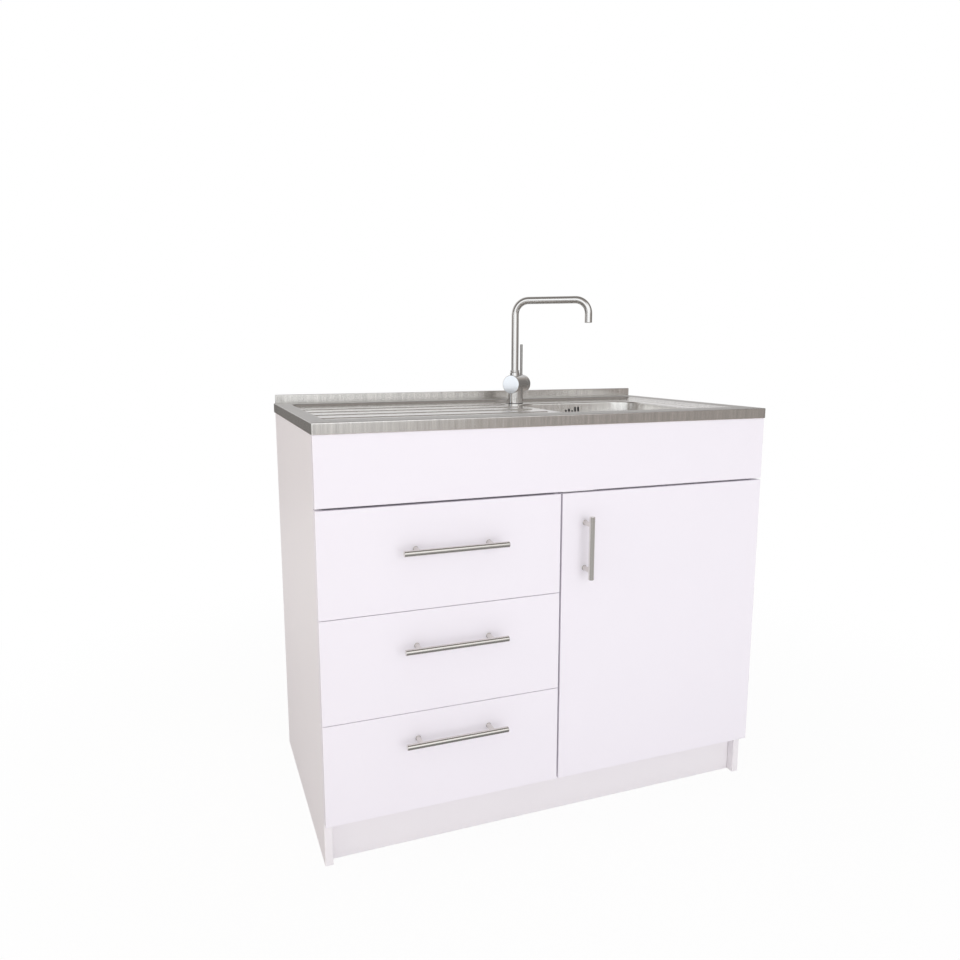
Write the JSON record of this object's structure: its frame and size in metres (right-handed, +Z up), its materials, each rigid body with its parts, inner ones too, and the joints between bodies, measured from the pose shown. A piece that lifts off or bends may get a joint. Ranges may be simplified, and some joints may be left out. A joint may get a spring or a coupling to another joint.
{
  "type": "sink cabinet",
  "caption": "Kitchen base unit with drawers and a door under a lay-on stainless sink with drainer, bowl and a single-lever tap with a swivel spout.",
  "frame": {"origin": "on the floor under the middle of the whole unit's bounding box, handles and sink top included", "axes": "+X to the right seen from the front, +Y towards the wall, +Z up"},
  "size_m": [1, 0.6048, 1.1405],
  "materials": {
    "white_board": "smooth white melamine face",
    "carcass_board": "white melamine chipboard",
    "thin_board": "lacquered hardboard",
    "packing_wood": "raw softwood",
    "runner_steel": "zinc plated sheet",
    "hinge_steel": "nickel plated",
    "sink_steel": "fine brushed stainless",
    "handle_steel": "satin stainless",
    "tap_steel": "polished stainless",
    "brass": "raw brass",
    "white_plastic": "white moulded plastic"
  },
  "bodies": {
    "cabinet": {"fascia_panel": "white_board", "side_panel_left": "carcass_board", "side_panel_right": "carcass_board", "plinth_board": "carcass_board", "base_panel": "carcass_board", "divider_panel": "carcass_board", "top_rail_front": "carcass_board", "top_rail_rear": "carcass_board", "back_panel": "thin_board", "packing_frame": "packing_wood", "runner_channel_left_top": "runner_steel", "runner_channel_left_middle": "runner_steel", "runner_channel_left_bottom": "runner_steel", "runner_channel_right_top": "runner_steel", "runner_channel_right_middle": "runner_steel", "runner_channel_right_bottom": "runner_steel", "hinge_arm_lower": "hinge_steel", "hinge_arm_upper": "hinge_steel", "hinge_plate_lower": "hinge_steel", "hinge_plate_upper": "hinge_steel", "sink_top": "sink_steel", "waste_body": "sink_steel", "tap_body": "tap_steel", "shank_nut": "brass", "bottle_trap": "white_plastic", "overflow_housing": "white_plastic"},
    "drawer_top": {"drawer_front_top": "white_board", "drawer_handle_top": "handle_steel", "drawer_side_left_top": "carcass_board", "drawer_side_right_top": "carcass_board", "drawer_back_top": "carcass_board", "drawer_bottom_top": "thin_board", "runner_member_left_top": "runner_steel", "runner_member_right_top": "runner_steel"},
    "drawer_middle": {"drawer_front_middle": "white_board", "drawer_handle_middle": "handle_steel", "drawer_side_left_middle": "carcass_board", "drawer_side_right_middle": "carcass_board", "drawer_back_middle": "carcass_board", "drawer_bottom_middle": "thin_board", "runner_member_left_middle": "runner_steel", "runner_member_right_middle": "runner_steel"},
    "drawer_bottom": {"drawer_front_bottom": "white_board", "drawer_handle_bottom": "handle_steel", "drawer_side_left_bottom": "carcass_board", "drawer_side_right_bottom": "carcass_board", "drawer_back_bottom": "carcass_board", "drawer_bottom_bottom": "thin_board", "runner_member_left_bottom": "runner_steel", "runner_member_right_bottom": "runner_steel"},
    "door": {"door_panel": "white_board", "door_handle": "handle_steel", "hinge_cup_lower": "hinge_steel", "hinge_cup_upper": "hinge_steel"},
    "spout": {"spout": "tap_steel", "aerator": "white_plastic"},
    "mixer_spindle": {"mixer_spindle": "brass"},
    "mixer_lever": {"mixer_knob": "tap_steel", "mixer_lever": "tap_steel"},
    "strainer_basket": {"strainer_basket": "sink_steel"}
  },
  "joints": [
    {"name": "drawer_top_slide", "type": "slide", "parent": "cabinet", "child": "drawer_top", "axis": [0, -1, 0], "range_m": [0, 0.375]},
    {"name": "drawer_middle_slide", "type": "slide", "parent": "cabinet", "child": "drawer_middle", "axis": [0, -1, 0], "range_m": [0, 0.375]},
    {"name": "drawer_bottom_slide", "type": "slide", "parent": "cabinet", "child": "drawer_bottom", "axis": [0, -1, 0], "range_m": [0, 0.375]},
    {"name": "door_swing", "type": "hinge", "parent": "cabinet", "child": "door", "pos_m": [0.491, -0.25785, 0.4078], "axis": [0, 0, 1], "range_deg": [0, 100]},
    {"name": "spout_swivel", "type": "hinge", "parent": "cabinet", "child": "spout", "pos_m": [0.096, 0.19965, 0.9512], "axis": [0, 0, 1], "continuous": true},
    {"name": "mixer_turn", "type": "hinge", "parent": "cabinet", "child": "mixer_spindle", "pos_m": [0.096, 0.19965, 0.9212], "axis": [0.788, 0.6157, 0], "range_deg": [-45, 45]},
    {"name": "mixer_tilt", "type": "hinge", "parent": "mixer_spindle", "child": "mixer_lever", "pos_m": [0.10388, 0.20581, 0.9212], "axis": [-0.6157, 0.788, 0], "range_deg": [0, 12]},
    {"name": "basket_lift", "type": "slide", "parent": "cabinet", "child": "strainer_basket", "axis": [0, 0, 1], "range_m": [0, 0.12]}
  ]
}
